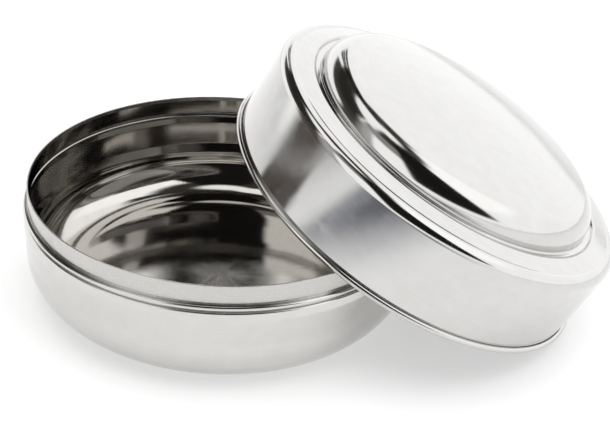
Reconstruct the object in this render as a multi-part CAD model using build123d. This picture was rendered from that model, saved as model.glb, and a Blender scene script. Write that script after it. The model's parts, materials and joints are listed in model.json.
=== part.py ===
from build123d import *
from math import atan2, cos, degrees, hypot, radians, sin
import os

# Round stainless steel spice box: a drawn pan with a collar, and a domed lid whose
# skirt slips over the collar. The lid is off, and leans on the pan's rim.
# Units are millimetres. +Z is up, the origin is the centre of the pan's underside,
# and the lid leans out along +X.

# Sheet and fit
sheet = 0.7                # thickness of the drawn sheet, pan and lid alike
lid_clearance = 0.5        # radial gap between the collar and the lid's skirt

# Pan: heights start at the underside, radii are those of the outer skin
pan_height = 58.5
collar_radius = 97.5       # the lid slips over this
collar_height = 9.7        # rim to the bead that stops the lid
bead_radius = 1.25         # half round bead pressed out under the collar
bead_reach = 2.1           # how far the bead stands out from the collar
neck_reach = 0.6           # how far the neck under the bead stands out
neck_height = 0.8
wall_reach = 2.4           # how far the widest part of the wall stands out
shoulder_drop = 4.5        # neck to the widest part of the wall
wall_draft = 1.0           # how much the wall draws in below its widest part
draft_drop = 13.0          # height over which it draws in
pan_corner = 23.0          # round corner from the wall to the floor
draft_round = 8.0          # rounding where the wall starts to widen
shoulder_round = 5.0       # rounding of the widest part of the wall
lip_round = 0.9            # rounding between the shoulder and the neck
neck_round = 0.2           # rounding in the corners of the neck
collar_foot_round = 0.3    # rounding between the bead and the collar

# Lid: heights start at the rim of its mouth
skirt_height = 45.5
rim_roll = 1.5             # radius of the edge rolled outwards round the mouth
skirt_corner = 5.0         # round corner from the skirt to the ledge
crease_width = 1.2         # fine crease between that corner and the ledge
crease_depth = 0.6
ledge_rise = 1.8           # how much the ledge climbs towards the dome
valley_depth = 1.6         # pressed valley between the ledge and the dome
valley_width = 3.0
dome_radius = 78.6
dome_height = 18.0         # from the level where the dome's side stands upright
dome_round = 12.0          # rounded side of the dome, below its broad crown
dome_foot_round = 1.0      # rounding between the dome's side and the valley
valley_round = 1.2         # rounding of the valley's outer corner
ledge_round = 1.5          # rounding of the ledge's inner edge
crease_round = 0.6         # rounding in the bottom of the crease

# Where the lid leans: its tilt follows from these and from the height of the pan's rim
lean_turn = -3.4           # leaning direction, turned from +X towards +Y
mouth_x = 93.8             # middle of the lid's mouth, from the pan's axis
mouth_y = 12.4
rest_gap = 0.55            # between the lid's rolled edge and the pan's rim

skirt_inner_radius = collar_radius + lid_clearance
skirt_radius = skirt_inner_radius + sheet


def sheet_section(skin, side):
    """Section of the sheet on one side of its outer skin."""
    return make_face(Wire(skin.edges()).offset_2d(sheet, side=side))


def make_pan():
    bead_top = pan_height - collar_height
    bead_bottom = bead_top - 2 * bead_radius
    bead_crest = collar_radius + bead_reach
    bead_round = 0.9 * bead_radius
    neck_bottom = bead_bottom - neck_height
    neck = collar_radius + neck_reach
    shoulder = neck_bottom - shoulder_drop
    widest = collar_radius + wall_reach
    wall = widest - wall_draft
    draft_foot = shoulder - draft_drop
    straight_wall = draft_foot - draft_round * wall_draft / draft_drop
    outline = [
        # radius, height, rounding
        (wall, 0, min(pan_corner, straight_wall)),
        (wall, draft_foot, draft_round),
        (widest, shoulder, shoulder_round),
        (widest - wall_draft / 2, neck_bottom, lip_round),
        (neck, neck_bottom, neck_round),
        (neck, bead_bottom, neck_round),
        (bead_crest, bead_bottom, bead_round),
        (bead_crest, bead_top, bead_round),
        (collar_radius, bead_top, collar_foot_round),
    ]
    corners = [(0, 0), *[(r, z) for r, z, _ in outline], (collar_radius, pan_height)]
    skin = FilletPolyline(*corners, radius=[rounding for _, _, rounding in outline])
    return revolve(Plane.XZ * sheet_section(skin, Side.LEFT), Axis.Z)


def make_lid():
    ledge_outer = skirt_radius - skirt_corner - crease_width
    ledge_inner = dome_radius + valley_width + valley_depth
    crease = skirt_height - crease_depth
    ledge_top = crease + ledge_rise
    valley = ledge_top - valley_depth
    dome_foot = valley + valley_depth
    round_centre = dome_radius - dome_round
    crown_radius = (round_centre**2 + dome_height**2 - dome_round**2) / (2 * (dome_height - dome_round))
    crown_angle = degrees(atan2(round_centre, crown_radius - dome_height))
    crown_centre = (0, dome_foot + dome_height - crown_radius)
    crown = CenterArc(crown_centre, crown_radius, 90, -crown_angle)
    shoulder = CenterArc((round_centre, dome_foot), dome_round, 90 - crown_angle, crown_angle - 90)
    outline = [
        # radius, height, rounding
        (dome_radius, valley, dome_foot_round),
        (dome_radius + valley_width, valley, valley_round),
        (ledge_inner, ledge_top, ledge_round),
        (ledge_outer, crease, crease_round),
        (skirt_radius, skirt_height, skirt_corner),
    ]
    corners = [(dome_radius, dome_foot), *[(r, z) for r, z, _ in outline], (skirt_radius, rim_roll)]
    side = FilletPolyline(*corners, radius=[rounding for _, _, rounding in outline])
    section = sheet_section(crown + shoulder + side, Side.RIGHT)
    section += Pos(skirt_inner_radius + rim_roll, rim_roll) * Circle(rim_roll)
    return revolve(Plane.XZ * section, Axis.Z)


def leaning(tilt):
    """Where the lid lies: its rolled edge on the floor and its axis tilted from upright."""
    roll_circle = skirt_inner_radius + rim_roll
    mouth_z = roll_circle * sin(radians(tilt)) + rim_roll * (1 - cos(radians(tilt)))
    return Pos(mouth_x, mouth_y, mouth_z) * Rot(Z=lean_turn) * Rot(Y=tilt)


def gap_to_rim(tilt):
    """Smallest distance from the lid's rolled edge to the pan's rim."""
    roll_circle = skirt_inner_radius + rim_roll
    lid = leaning(tilt)
    centre = (lid * Pos(0, 0, rim_roll)).position
    out = (lid * Pos(roll_circle, 0, rim_roll)).position - centre
    across = (lid * Pos(0, roll_circle, rim_roll)).position - centre
    gap = pan_height
    for step in range(3600):
        along_out, along_across = cos(radians(step / 10)), sin(radians(step / 10))
        x, y, z = (c + along_out * o + along_across * a for c, o, a in zip(centre, out, across))
        aside = max(collar_radius - sheet - hypot(x, y), hypot(x, y) - collar_radius, 0)
        gap = min(gap, hypot(aside, max(z - pan_height, 0)) - rim_roll)
    return gap


def resting_tilt():
    """Tilt at which the lid's rolled edge comes as near to the pan's rim as the rest gap."""
    low, high = 0, 80
    for _ in range(24):
        middle = (low + high) / 2
        low, high = (low, middle) if gap_to_rim(middle) > rest_gap else (middle, high)
    return high


nodes = {
    "pan": make_pan(),
    "lid": leaning(resting_tilt()) * make_lid(),
}

os.makedirs("parts", exist_ok=True)
for name, solid in nodes.items():
    solid.label = name
    export_step(solid, f"parts/{name}.step")
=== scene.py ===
import json
from math import acos, atan2, cos, pi, radians, sin, tan

import bpy
from mathutils import Matrix, Vector


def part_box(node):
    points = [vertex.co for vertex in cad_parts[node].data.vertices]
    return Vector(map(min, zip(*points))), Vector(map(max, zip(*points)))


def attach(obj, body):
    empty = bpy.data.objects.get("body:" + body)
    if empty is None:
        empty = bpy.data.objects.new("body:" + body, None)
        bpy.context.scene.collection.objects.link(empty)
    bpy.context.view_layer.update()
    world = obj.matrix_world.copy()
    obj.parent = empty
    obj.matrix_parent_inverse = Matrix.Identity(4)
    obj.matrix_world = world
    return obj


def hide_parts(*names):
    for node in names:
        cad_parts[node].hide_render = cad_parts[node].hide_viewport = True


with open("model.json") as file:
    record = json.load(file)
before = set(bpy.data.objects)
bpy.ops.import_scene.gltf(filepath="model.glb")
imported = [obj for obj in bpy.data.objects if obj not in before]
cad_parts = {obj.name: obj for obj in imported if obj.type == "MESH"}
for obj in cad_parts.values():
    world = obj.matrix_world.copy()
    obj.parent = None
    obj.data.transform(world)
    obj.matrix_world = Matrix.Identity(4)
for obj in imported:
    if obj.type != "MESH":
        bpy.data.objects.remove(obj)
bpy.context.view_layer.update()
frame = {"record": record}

# Sizes in metres, as in the CAD model
MM = 0.001
SHEET = 0.7 * MM
ROLL = 1.5 * MM           # radius of the lid's rolled edge
TURN_STEPS = 360          # facets round a turned shell
RUN_STEP = 2.0 * MM       # longest step along a straight run of an outline
ARC_STEP = radians(6)     # longest step round a corner of an outline
CROWN_STEP = radians(0.5)
CURL_STEP = radians(9)    # round the lid's rolled edge
EDGE_STEP = radians(20)   # round the cut edge of the sheet

mounts = {mount["name"]: mount for mount in frame["record"]["mounts"]}
COLLAR_RADIUS = mounts["collar"]["dims"]["r_mm"] * MM
MOUTH_RADIUS = mounts["lid_mouth"]["dims"]["r_mm"] * MM
PAN_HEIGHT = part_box("pan")[1].z


# Outlines are lists of (point, normal) pairs. A point is (radius, height), and the normal
# is on the right of the way the outline runs.

def straight(start, end):
    """A straight run, both ends included."""
    along = (end - start).normalized()
    steps = max(1, round((end - start).length / RUN_STEP))
    return [(start.lerp(end, i / steps), Vector((along.y, -along.x))) for i in range(steps + 1)]


def arc(centre, radius, start, end, step=ARC_STEP):
    """An arc between two angles in radians, both ends included."""
    steps = max(2, round(abs(end - start) / step))
    side = 1 if end > start else -1
    spokes = [start + (end - start) * i / steps for i in range(steps + 1)]
    spokes = [Vector((cos(angle), sin(angle))) for angle in spokes]
    return [(Vector(centre) + spoke * radius, spoke * side) for spoke in spokes]


def rounded(corners):
    """An outline through (radius, height, rounding) corners, its two ends left sharp."""
    places = [Vector(corner[:2]) for corner in corners]
    outline, last = [], places[0]
    for before, here, after, corner in zip(places, places[1:], places[2:], corners[1:]):
        to_last, to_next = (before - here).normalized(), (after - here).normalized()
        half_angle = acos(max(-1.0, min(1.0, to_last.dot(to_next)))) / 2
        start = here + to_last * corner[2] / tan(half_angle)
        centre = here + (to_last + to_next).normalized() * corner[2] / sin(half_angle)
        first = atan2(start.y - centre.y, start.x - centre.x)
        left_turn = to_next.cross(to_last) > 0
        sweep = (pi - 2 * half_angle) * (1 if left_turn else -1)
        outline += straight(last, start) + arc(centre, corner[2], first, first + sweep)
        last = outline[-1][0]
    return outline + straight(last, places[-1])


def offset(outline, distance):
    return [(point + normal * distance, normal) for point, normal in outline]


def backwards(outline):
    return [(point, -normal) for point, normal in reversed(outline)]


def turned(name, parts, place=Matrix.Identity(4)):
    """A closed shell turned about the place's Z from (outline, material index) parts.

    Its normals are exact, and its own coordinates are kept for the materials in "own_place"."""
    points, normals, finishes = [], [], []
    for outline, finish in parts:
        for point, normal in outline:
            if points and (point - points[-1]).length < 1e-7:
                continue
            points.append(point)
            normals.append(normal)
            finishes.append(finish)
    vertices, vertex_normals, faces, face_finishes, rings = [], [], [], [], []
    for point, normal in zip(points, normals):
        start = len(vertices)
        if point.x < 1e-6:
            rings.append([start] * TURN_STEPS)
            vertices.append((0, 0, point.y))
            vertex_normals.append((0, 0, 1 if normal.y > 0 else -1))
            continue
        rings.append(list(range(start, start + TURN_STEPS)))
        for i in range(TURN_STEPS):
            across, deep = cos(2 * pi * i / TURN_STEPS), sin(2 * pi * i / TURN_STEPS)
            vertices.append((point.x * across, point.x * deep, point.y))
            vertex_normals.append((normal.x * across, normal.x * deep, normal.y))
    for ring, next_ring, finish in zip(rings, rings[1:], finishes):
        for i in range(TURN_STEPS):
            j = (i + 1) % TURN_STEPS
            faces.append(tuple(dict.fromkeys((ring[i], ring[j], next_ring[j], next_ring[i]))))
            face_finishes.append(finish)
    turn = place.to_3x3()
    mesh = bpy.data.meshes.new(name)
    mesh.from_pydata([place @ Vector(vertex) for vertex in vertices], [], faces)
    mesh.polygons.foreach_set("material_index", face_finishes)
    mesh.polygons.foreach_set("use_smooth", [True] * len(faces))
    mesh.normals_split_custom_set_from_vertices([turn @ Vector(normal) for normal in vertex_normals])
    own_place = mesh.attributes.new("own_place", "FLOAT_VECTOR", "POINT")
    own_place.data.foreach_set("vector", [number for vertex in vertices for number in vertex])
    mesh.update()
    piece = bpy.data.objects.new(name, mesh)
    bpy.context.scene.collection.objects.link(piece)
    return piece


class Nodes:
    """Short calls for building a node tree."""

    def __init__(self, tree):
        self.tree = tree
        tree.nodes.clear()

    def add(self, kind, inputs=None, **settings):
        node = self.tree.nodes.new(kind)
        for key, value in settings.items():
            setattr(node, key, value)
        for key, value in (inputs or {}).items():
            if isinstance(value, bpy.types.NodeSocket):
                self.tree.links.new(value, node.inputs[key])
            else:
                node.inputs[key].default_value = value
        return node

    def math(self, operation, a, b=0.0, c=0.0):
        return self.add("ShaderNodeMath", {0: a, 1: b, 2: c}, operation=operation).outputs[0]

    def vector(self, operation, a, b=(0.0, 0.0, 0.0)):
        node = self.add("ShaderNodeVectorMath", {0: a, 1: b}, operation=operation)
        return node.outputs[1 if operation in ("LENGTH", "DOT_PRODUCT") else 0]

    def remap(self, value, low, high, to_low=0.0, to_high=1.0):
        inputs = {"Value": value, 1: low, 2: high, 3: to_low, 4: to_high}
        return self.add("ShaderNodeMapRange", inputs, interpolation_type="SMOOTHSTEP").outputs[0]

    def noise(self, place, scale, detail):
        inputs = {"Vector": place, "Scale": scale, "Detail": detail}
        return self.add("ShaderNodeTexNoise", inputs).outputs[0]


def steel(name, tint, roughness, ring_lines=0.0, upright_lines=0.0, dents=0.0):
    """Polished stainless steel: buffing lines round the piece or up its wall, and soft dents."""
    material = bpy.data.materials.new(name)
    material.use_nodes = True
    nodes = Nodes(material.node_tree)
    place = nodes.add("ShaderNodeAttribute", attribute_name="own_place").outputs["Vector"]
    x, y, z = nodes.add("ShaderNodeSeparateXYZ", {0: place}).outputs
    flat = nodes.add("ShaderNodeCombineXYZ", {0: x, 1: y}).outputs[0]
    out = nodes.vector("LENGTH", flat)

    ring_scale, fine_ring_scale, upright_scale = 2600.0, 9000.0, 90.0
    broad_scale, cloud_scale, speck_scale = 24.0, 130.0, 1500.0

    # Fine lines of the buffing wheel, long round the piece, and brushed lines up its wall
    slope_sum, slope_difference = nodes.math("ADD", out, z), nodes.math("SUBTRACT", out, z)
    section = nodes.add("ShaderNodeCombineXYZ", {0: slope_sum, 1: slope_difference}).outputs[0]
    drift = nodes.vector("MULTIPLY", place, (0.012, 0.012, 0.012))
    ring_place = nodes.vector("ADD", section, drift)
    rings = nodes.noise(ring_place, ring_scale, 3.0)
    fine_rings = nodes.noise(ring_place, fine_ring_scale, 2.0)
    lift = nodes.add("ShaderNodeCombineXYZ", {2: nodes.math("MULTIPLY", z, 1.5)}).outputs[0]
    upright_place = nodes.vector("ADD", nodes.vector("NORMALIZE", flat), lift)
    uprights = nodes.noise(upright_place, upright_scale, 4.0)
    broad = nodes.noise(place, broad_scale, 1.0)
    cloudy = nodes.noise(place, cloud_scale, 4.0)
    specks = nodes.noise(place, speck_scale, 2.0)

    # A little warmer and darker where the polish is thinner
    polish = nodes.math("MULTIPLY_ADD", rings, 0.5, nodes.math("MULTIPLY", cloudy, 0.5))
    colour = nodes.add("ShaderNodeMix", {0: nodes.remap(polish, 0.35, 0.65)}, data_type="RGBA")
    colour.inputs[6].default_value = (tint[0] * 0.95, tint[1] * 0.945, tint[2] * 0.93, 1)
    colour.inputs[7].default_value = (*tint, 1)

    # Roughness follows the lines, with cloudy patches and a few dull specks
    lines = nodes.math("MULTIPLY_ADD", rings, 0.6, nodes.math("MULTIPLY", fine_rings, 0.4))
    rough = nodes.math("MULTIPLY_ADD", lines, roughness * 0.8, roughness * 0.5)
    rough = nodes.math("MULTIPLY_ADD", nodes.remap(cloudy, 0.45, 0.75), roughness * 0.4, rough)
    rough = nodes.math("MULTIPLY_ADD", nodes.remap(specks, 0.68, 0.78), roughness * 0.5, rough)

    relief = nodes.add("ShaderNodeBump", {"Height": broad, "Distance": dents})
    for height, depth in ((rings, ring_lines), (uprights, upright_lines)):
        inputs = {"Height": height, "Distance": depth, "Normal": relief.outputs[0]}
        relief = nodes.add("ShaderNodeBump", inputs)
    shader = nodes.add("ShaderNodeBsdfPrincipled", {
        "Base Color": colour.outputs[2], "Metallic": 1.0, "Roughness": rough,
        "Normal": relief.outputs[0]})
    nodes.add("ShaderNodeOutputMaterial", {"Surface": shader.outputs[0]})
    return material


def make_pan():
    collar_height = 9.7 * MM
    bead_radius, bead_reach = 1.25 * MM, 2.1 * MM
    neck_reach, neck_height, neck_round = 0.6 * MM, 0.8 * MM, 0.2 * MM
    wall_reach, shoulder_drop = 2.4 * MM, 4.5 * MM
    wall_draft, draft_drop = 1.0 * MM, 13.0 * MM
    pan_corner, draft_round, shoulder_round = 23.0 * MM, 8.0 * MM, 5.0 * MM
    lip_round, collar_foot_round = 0.9 * MM, 0.3 * MM
    bead_round = 0.9 * bead_radius
    edge = SHEET / 2

    bead_top = PAN_HEIGHT - collar_height
    bead_bottom = bead_top - 2 * bead_radius
    crest = COLLAR_RADIUS + bead_reach
    neck = COLLAR_RADIUS + neck_reach
    neck_bottom = bead_bottom - neck_height
    shoulder = neck_bottom - shoulder_drop
    widest = COLLAR_RADIUS + wall_reach
    wall = widest - wall_draft
    outside = rounded([
        (0, 0, 0),
        (wall, 0, pan_corner),
        (wall, shoulder - draft_drop, draft_round),
        (widest, shoulder, shoulder_round),
        (widest - wall_draft / 2, neck_bottom, lip_round),
        (neck, neck_bottom, neck_round),
        (neck, bead_bottom, neck_round),
        (crest, bead_bottom, bead_round),
        (crest, bead_top, bead_round),
        (COLLAR_RADIUS, bead_top, collar_foot_round),
        (COLLAR_RADIUS, PAN_HEIGHT - edge, 0),
    ])
    rim = arc((COLLAR_RADIUS - edge, PAN_HEIGHT - edge), edge, 0, pi, EDGE_STEP)
    inside = backwards(offset(outside, -SHEET))
    below = [pair for pair in outside if pair[0].y <= bead_top]
    collar = [pair for pair in outside if pair[0].y > bead_top]
    pan = turned("pan_shell", [(below, 0), (collar + rim, 1), (inside, 2)])
    pan.data.materials.append(steel("pan_outside_steel", (0.615, 0.608, 0.596), 0.15, 2e-6, 0, 2e-4))
    pan.data.materials.append(steel("pan_collar_steel", (0.56, 0.55, 0.535), 0.30, 0, 4e-5, 1e-4))
    pan.data.materials.append(steel("pan_inside_steel", (0.56, 0.545, 0.52), 0.07, 0, 1e-5, 2e-4))
    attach(pan, "pan")
    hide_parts("pan")


def lid_place():
    """The lid's own frame: its origin in the middle of the mouth, its +Z towards the dome."""
    mount = mounts["lid_mouth"]
    axis = -Vector(mount["axis"])
    origin = Vector(mount["pos_m"]) - axis * (mount["dims"]["length_mm"] / 2 * MM + ROLL)
    side = Vector((0, 0, 1)).cross(axis).normalized()
    turn = Matrix((side.cross(axis), side, axis)).transposed()
    return Matrix.Translation(origin) @ turn.to_4x4()


def make_lid():
    skirt_height, skirt_corner = 45.5 * MM, 5.0 * MM
    crease_width, crease_depth, ledge_rise = 1.2 * MM, 0.6 * MM, 1.8 * MM
    valley_depth, valley_width = 1.6 * MM, 3.0 * MM
    dome_radius, dome_height, dome_round = 78.6 * MM, 18.0 * MM, 12.0 * MM
    dome_foot_round, valley_round = 1.0 * MM, 1.2 * MM
    ledge_round, crease_round = 1.5 * MM, 0.6 * MM
    curl_end = radians(360 + 103)   # the rolled edge ends just short of the skirt

    skirt = MOUTH_RADIUS + SHEET
    crease = skirt_height - crease_depth
    ledge_top = crease + ledge_rise
    valley = ledge_top - valley_depth
    centre = dome_radius - dome_round
    crown = (centre**2 + dome_height**2 - dome_round**2) / (2 * (dome_height - dome_round))
    crown_angle = pi / 2 - atan2(centre, crown - dome_height)
    top = arc((0, ledge_top + dome_height - crown), crown, pi / 2, crown_angle, CROWN_STEP)
    top += arc((centre, ledge_top), dome_round, crown_angle, 0)
    side = rounded([
        (dome_radius, ledge_top, 0),
        (dome_radius, valley, dome_foot_round),
        (dome_radius + valley_width, valley, valley_round),
        (dome_radius + valley_width + valley_depth, ledge_top, ledge_round),
        (skirt - skirt_corner - crease_width, crease, crease_round),
        (skirt, skirt_height, skirt_corner),
        (skirt, ROLL, 0),
    ])
    outside = top + side
    inside = offset(outside, SHEET)
    roll = (MOUTH_RADIUS + ROLL, ROLL)
    tip_middle = Vector(roll) + Vector((cos(curl_end), sin(curl_end))) * (ROLL - SHEET / 2)
    curl = arc(roll, ROLL, pi, curl_end, CURL_STEP)
    curl += arc(tip_middle, SHEET / 2, curl_end, curl_end + pi, EDGE_STEP)
    curl += backwards(arc(roll, ROLL - SHEET, pi, curl_end, CURL_STEP))
    lid = turned("lid_shell", [(inside, 1), (curl, 2), (backwards(outside), 0)], lid_place())
    lid.data.materials.append(steel("lid_outside_steel", (0.61, 0.607, 0.602), 0.12, 2e-6, 0, 2e-4))
    lid.data.materials.append(steel("lid_inside_steel", (0.58, 0.572, 0.56), 0.22, 2e-6, 0, 3e-4))
    lid.data.materials.append(steel("lid_rim_steel", (0.60, 0.592, 0.585), 0.14, 2e-6, 0, 5e-5))
    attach(lid, "lid")
    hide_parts("lid")


def make_floor():
    reach, drop = 6.0, 0.4 * MM   # a little under the pan, so that the two never share a plane
    mesh = bpy.data.meshes.new("floor")
    corners = [(-reach, -reach), (reach, -reach), (reach, reach), (-reach, reach)]
    mesh.from_pydata([(x, y, -drop) for x, y in corners], [], [(0, 1, 2, 3)])
    floor = bpy.data.objects.new("floor", mesh)
    bpy.context.scene.collection.objects.link(floor)
    material = bpy.data.materials.new("white_sweep")
    material.use_nodes = True
    nodes = Nodes(material.node_tree)
    place = nodes.add("ShaderNodeTexCoord").outputs["Object"]
    grain = nodes.remap(nodes.noise(place, 3.0, 2.0), 0.3, 0.7, 0.55, 0.65)
    shader = nodes.add("ShaderNodeBsdfPrincipled", {
        "Base Color": (0.5, 0.5, 0.5, 1), "Roughness": grain, "Specular IOR Level": 0.0,
        "Emission Color": (1, 1, 1, 1), "Emission Strength": 0.5})
    nodes.add("ShaderNodeOutputMaterial", {"Surface": shader.outputs[0]})
    mesh.materials.append(material)


def make_surroundings():
    """What the steel mirrors: a white tent with dark gaps and a softbox, by direction.

    Azimuths run from +Y towards +X, and elevations from the horizon, in degrees."""
    world = bpy.data.worlds.new("studio")
    bpy.context.scene.world = world
    world.use_nodes = True
    nodes = Nodes(world.node_tree)
    toward = nodes.add("ShaderNodeTexCoord").outputs["Generated"]
    x, y, z = nodes.add("ShaderNodeSeparateXYZ", {0: toward}).outputs
    to_degrees = 180 / pi
    azimuth = nodes.math("MULTIPLY", nodes.math("ARCTAN2", x, y), to_degrees)
    elevation = nodes.math("MULTIPLY", nodes.math("ARCSINE", z), to_degrees)

    def band(angle, low, high, soft):
        middle, half = (low + high) / 2, (high - low) / 2
        away = nodes.math("WRAP", nodes.math("SUBTRACT", angle, middle), 180.0, -180.0)
        return nodes.remap(nodes.math("ABSOLUTE", away), half - soft, half + soft, 1.0, 0.0)

    colour = nodes.add("ShaderNodeRGB").outputs[0]
    colour.default_value = (1.4, 1.4, 1.4, 1)
    for left, right, low, high, soft, paint in (
        # azimuths, elevations, soft edge, colour
        (-20, 245, 60, 82, 3, (0.05, 0.045, 0.04)),        # dark ceiling round the overhead light
        (55, 132, 30, 68, 4, (1.6, 1.6, 1.6)),             # right softbox
        (-158, -100, 46, 62, 4, (0.35, 0.34, 0.33)),       # grey above the front left panel
        (-118, -100, -5, 50, 3, (0.55, 0.54, 0.53)),       # grey at that panel's left edge
        (-102, -74, -5, 44, 6, (0.10, 0.085, 0.075)),      # dark gap on the left
        (-95, -16, 24, 43, 2, (0.06, 0.055, 0.05)),        # dark gap behind on the left
        (-95, 3.5, 37, 62, 2, (0.03, 0.028, 0.025)),       # dark wall behind, above that gap
        (130, 204, 9, 79, 3, (0.012, 0.011, 0.010)),       # dark side that the camera stands on
        (-9.3, 3.5, 22, 64, 0.5, (0.012, 0.011, 0.010)),   # dark gap at the back
        (-6.2, -5.2, 22, 38, 0.2, (0.9, 0.89, 0.87)),      # light stands in that gap
        (-2.4, -0.6, 22, 38, 0.4, (1.1, 1.09, 1.07)),
    ):
        across, upright = band(azimuth, left, right, soft), band(elevation, low, high, soft)
        inside = nodes.math("MULTIPLY", across, upright)
        mix = nodes.add("ShaderNodeMix", {0: inside}, data_type="RGBA")
        nodes.tree.links.new(colour, mix.inputs[6])
        mix.inputs[7].default_value = (*paint, 1)
        colour = mix.outputs[2]
    sky = nodes.add("ShaderNodeBackground", {0: colour, 1: 1.0})
    nodes.add("ShaderNodeOutputWorld", {0: sky.outputs[0]})


def make_card(name, corners, paint, edge):
    """A soft-edged cloudy card that only shows as a reflection."""
    mesh = bpy.data.meshes.new(name)
    mesh.from_pydata(corners, [], [(0, 1, 2, 3)])
    spread = mesh.uv_layers.new(name="spread")
    spread.data.foreach_set("uv", (0, 0, 1, 0, 1, 1, 0, 1))
    card = bpy.data.objects.new(name, mesh)
    bpy.context.scene.collection.objects.link(card)
    material = bpy.data.materials.new(name)
    material.use_nodes = True
    nodes = Nodes(material.node_tree)
    spread = nodes.add("ShaderNodeAttribute", attribute_name="spread").outputs["Vector"]
    across, along, _ = nodes.add("ShaderNodeSeparateXYZ", {0: spread}).outputs
    cloud = nodes.noise(spread, 5.0, 2.0)
    to_edge = nodes.math("MINIMUM", nodes.math("PINGPONG", across, 0.5), nodes.math("PINGPONG", along, 0.5))
    cover = nodes.remap(nodes.math("MULTIPLY_ADD", cloud, edge / 2, to_edge), edge / 4, edge * 1.25)
    cloudy = nodes.remap(cloud, 0.3, 0.7, 0.55, 1.25)
    glow = nodes.add("ShaderNodeEmission", {0: (*paint, 1), 1: cloudy})
    clear = nodes.add("ShaderNodeBsdfTransparent")
    mix = nodes.add("ShaderNodeMixShader", {0: cover, 1: clear.outputs[0], 2: glow.outputs[0]})
    nodes.add("ShaderNodeOutputMaterial", {"Surface": mix.outputs[0]})
    mesh.materials.append(material)
    card.visible_camera = card.visible_diffuse = card.visible_shadow = False


def make_lights():
    make_surroundings()
    low = 0.2 * MM
    make_card("left_card", [(-0.72, -0.24, 0), (-0.72, 0.16, 0), (-0.72, 0.16, 0.08), (-0.72, -0.24, 0.08)],
              (0.10, 0.085, 0.075), 0.1)
    make_card("front_card", [(-0.7, -0.95, low), (0.3, -0.95, low), (0.3, -0.21, low), (-0.7, -0.21, low)],
              (0.28, 0.29, 0.325), 0.25)
    lamp = bpy.data.lights.new("overhead_softbox", "AREA")
    lamp.shape = "RECTANGLE"
    lamp.size, lamp.size_y = 2.4, 2.4
    lamp.energy = 44
    box = bpy.data.objects.new("overhead_softbox", lamp)
    box.location = (0, 0, 2.0)
    box.visible_glossy = False
    bpy.context.scene.collection.objects.link(box)


def make_camera():
    elevation, roll = radians(29.018), radians(-5.187)
    distance, aside, above = 0.58385, 0.0455, 0.0483
    right = Vector((1, 0, 0))
    forward = Vector((0, cos(elevation), -sin(elevation)))
    up = Vector((0, sin(elevation), cos(elevation)))
    image_x = cos(roll) * right - sin(roll) * up
    image_y = sin(roll) * right + cos(roll) * up
    lens = bpy.data.cameras.new("camera")
    lens.sensor_width = 36
    lens.lens = 64.96
    lens.shift_x, lens.shift_y = -0.0164, -0.0492
    lens.clip_start = 0.01
    camera = bpy.data.objects.new("camera", lens)
    turn = Matrix((image_x, image_y, -forward)).transposed()
    place = right * aside + up * above - forward * distance
    camera.matrix_world = Matrix.Translation(place) @ turn.to_4x4()
    bpy.context.scene.collection.objects.link(camera)
    bpy.context.scene.camera = camera


make_pan()
make_lid()
make_floor()
make_lights()
make_camera()
bpy.context.scene.view_settings.view_transform = "Standard"

bpy.context.view_layer.update()
